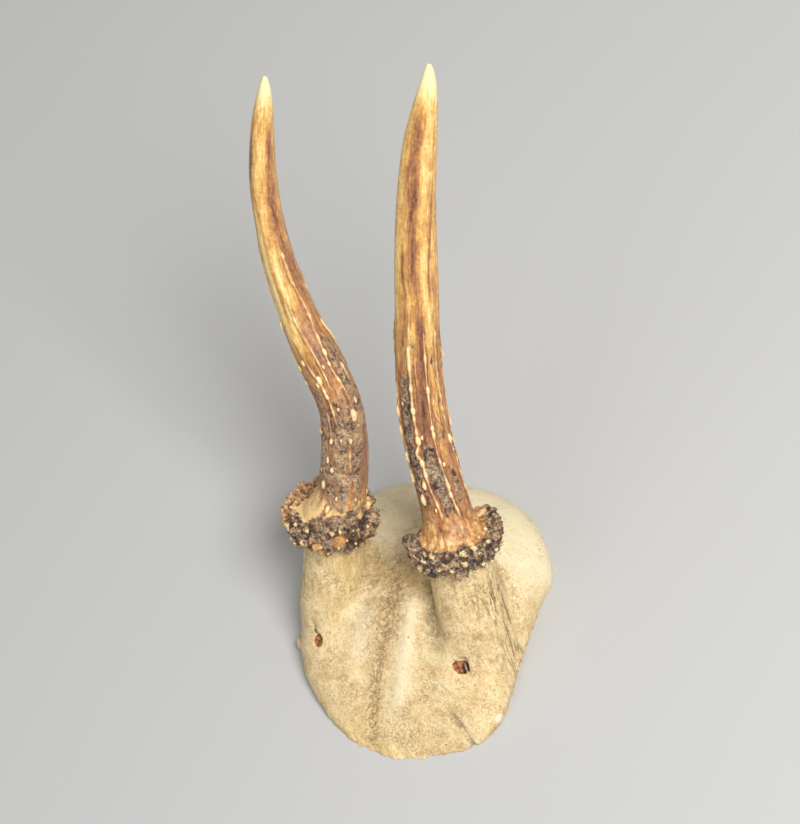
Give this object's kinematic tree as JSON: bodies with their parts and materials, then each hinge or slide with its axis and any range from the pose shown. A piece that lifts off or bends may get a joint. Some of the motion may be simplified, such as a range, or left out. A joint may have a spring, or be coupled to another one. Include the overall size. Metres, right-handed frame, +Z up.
{
  "type": "deer skull cap mount",
  "caption": "Sawn skull cap of a roe buck: bone plate with pedicles, rough burrs and two spike antlers, flat underneath to be fastened to a shield.",
  "frame": {"origin": "on the sawn underside, on the solid bar of bone between the braincase hollow and the two front hollows, on the midline; the sawn underside is the plane z = 0", "axes": "+Z up from the sawn face, +Y toward the back of the head, +X toward the buck's left side"},
  "size_m": [0.0645, 0.1232, 0.1317],
  "materials": {
    "bone": "dry aged bone, matte, fine pores and brown stains",
    "antler": "antler, brown and beaded below, honey-coloured and polished toward the ivory tips"
  },
  "bodies": {
    "root": {"skull_cap": "bone", "left_antler": "antler", "right_antler": "antler"}
  },
  "joints": []
}
